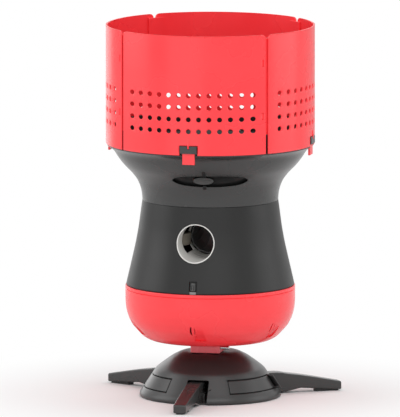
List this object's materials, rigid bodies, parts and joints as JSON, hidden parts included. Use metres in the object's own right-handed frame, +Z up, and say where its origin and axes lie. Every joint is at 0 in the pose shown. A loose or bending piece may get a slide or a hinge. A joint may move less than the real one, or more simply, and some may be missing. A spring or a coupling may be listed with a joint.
{
  "type": "table tennis robot",
  "caption": "Table tennis practice robot: perforated ball hopper on a flared funnel, throwing head with a round outlet, and a domed foot on plug-in legs.",
  "frame": {"origin": "on the turning axis, on the underside of the foot plate, at the floor", "axes": "+Z up along the turning axis, the ball outlet and the front leg face -Y"},
  "size_m": [0.331, 0.33, 0.513],
  "materials": {
    "red_shell": "glossy moulded ABS, bright coral red",
    "red_block": "satin moulded ABS, pinkish red",
    "black_shell": "semi-gloss charcoal ABS with a fine moulded grain",
    "black_gloss": "glossy charcoal ABS",
    "dark_insert": "smoked black polycarbonate",
    "grey_button": "satin grey ABS",
    "ivory_liner": "ivory moulded plastic",
    "tyre_rubber": "beige polyurethane foam tyre",
    "hub_plastic": "off-white nylon hub on a steel shaft",
    "motor_steel": "zinc-plated motor can",
    "bright_steel": "bright plated steel",
    "inner_plastic": "grey moulded plastic",
    "gear_plastic": "natural acetal",
    "bronze": "sintered bronze",
    "board_green": "green solder mask",
    "pad_rubber": "matt black rubber and switch plastic",
    "latch_grey": "light grey acetal"
  },
  "bodies": {
    "foot": {"base_dome": "black_gloss", "base_plate": "black_shell", "base_screw_1": "bright_steel", "base_screw_2": "bright_steel", "base_screw_3": "bright_steel", "thrust_bearing": "bronze", "pan_motor": "motor_steel"},
    "pan_pinion": {"pan_pinion": "bronze"},
    "turntable": {"pan_spindle": "inner_plastic", "pan_gear": "gear_plastic", "tilt_pin": "bright_steel", "tilt_nut": "bright_steel"},
    "head": {"tilt_block": "red_block", "tilt_stop_pin": "bright_steel", "bowl": "red_shell", "board_standoff_1": "bright_steel", "board_standoff_2": "bright_steel", "board_standoff_3": "bright_steel", "board_standoff_4": "bright_steel", "circuit_board": "board_green", "lower_shell": "black_shell", "latch_hook": "latch_grey", "outlet_liner": "ivory_liner", "motor_deck": "inner_plastic", "left_wheel_motor": "motor_steel", "right_wheel_motor": "motor_steel", "feed_motor": "motor_steel", "feed_chute": "inner_plastic", "funnel": "black_shell", "hopper_ring": "black_shell", "feed_deck": "inner_plastic", "deck_screw_1": "bright_steel", "deck_screw_2": "bright_steel", "deck_screw_3": "bright_steel", "control_panel": "dark_insert", "service_plate": "black_shell", "supply_inlet": "pad_rubber", "inlet_pin": "bright_steel", "switch_housing": "black_shell"},
    "left_wheel": {"left_wheel_tyre": "tyre_rubber", "left_wheel_hub": "hub_plastic"},
    "right_wheel": {"right_wheel_tyre": "tyre_rubber", "right_wheel_hub": "hub_plastic"},
    "feed": {"feed_disc": "gear_plastic", "agitator": "bronze"},
    "button": {"start_button": "grey_button"},
    "latch": {"seam_latch": "black_shell"},
    "rocker": {"switch_rocker": "pad_rubber"},
    "hopper": {"front_panel": "red_shell", "right_panel": "red_shell", "rear_panel": "red_shell", "left_panel": "red_shell"},
    "front_leg": {"front_leg": "black_shell", "front_leg_pad": "pad_rubber"},
    "right_leg": {"right_leg": "black_shell", "right_leg_pad": "pad_rubber"},
    "left_leg": {"left_leg": "black_shell", "left_leg_pad": "pad_rubber"}
  },
  "joints": [
    {"name": "pan_turn", "type": "hinge", "parent": "foot", "child": "turntable", "pos_m": [0, 0, 0.063], "axis": [0, 0, 1], "range_deg": [-45, 45]},
    {"name": "pan_pinion_turn", "type": "hinge", "parent": "foot", "child": "pan_pinion", "pos_m": [0, 0.04, 0.039], "axis": [0, 0, 1], "range_deg": [-140, 140]},
    {"name": "head_tilt", "type": "hinge", "parent": "turntable", "child": "head", "pos_m": [0, 0, 0.069], "axis": [-1, 0, 0], "range_deg": [0, 15]},
    {"name": "left_wheel_spin", "type": "hinge", "parent": "head", "child": "left_wheel", "pos_m": [-0.0435, -0.045, 0.223], "axis": [0, 0, 1], "continuous": true},
    {"name": "right_wheel_spin", "type": "hinge", "parent": "head", "child": "right_wheel", "pos_m": [0.0435, -0.045, 0.223], "axis": [0, 0, 1], "continuous": true},
    {"name": "feed_turn", "type": "hinge", "parent": "head", "child": "feed", "pos_m": [0, 0, 0.28], "axis": [0, 0, 1], "continuous": true},
    {"name": "button_press", "type": "slide", "parent": "head", "child": "button", "axis": [-0.1219, 0.9925, 0], "range_m": [0, 0.0015], "stiffness_N_per_m": 400, "springref_m": -0.002},
    {"name": "latch_press", "type": "slide", "parent": "head", "child": "latch", "axis": [0, 1, 0], "range_m": [0, 0.0015], "stiffness_N_per_m": 600, "springref_m": -0.002},
    {"name": "rocker_tip", "type": "hinge", "parent": "head", "child": "rocker", "pos_m": [-0.014, 0.09987, 0.177], "axis": [-1, 0, 0], "range_deg": [0, 16]},
    {"name": "hopper_lift", "type": "slide", "parent": "head", "child": "hopper", "axis": [0, 0, 1], "range_m": [0, 0.09]},
    {"name": "front_leg_pull", "type": "slide", "parent": "foot", "child": "front_leg", "axis": [0, -1, 0], "range_m": [0, 0.034]},
    {"name": "right_leg_pull", "type": "slide", "parent": "foot", "child": "right_leg", "axis": [0.866, 0.5, 0], "range_m": [0, 0.034]},
    {"name": "left_leg_pull", "type": "slide", "parent": "foot", "child": "left_leg", "axis": [-0.866, 0.5, 0], "range_m": [0, 0.034]}
  ],
  "couplings": [
    {"joint": "pan_pinion_turn", "follows": "pan_turn", "ratio": -3}
  ]
}
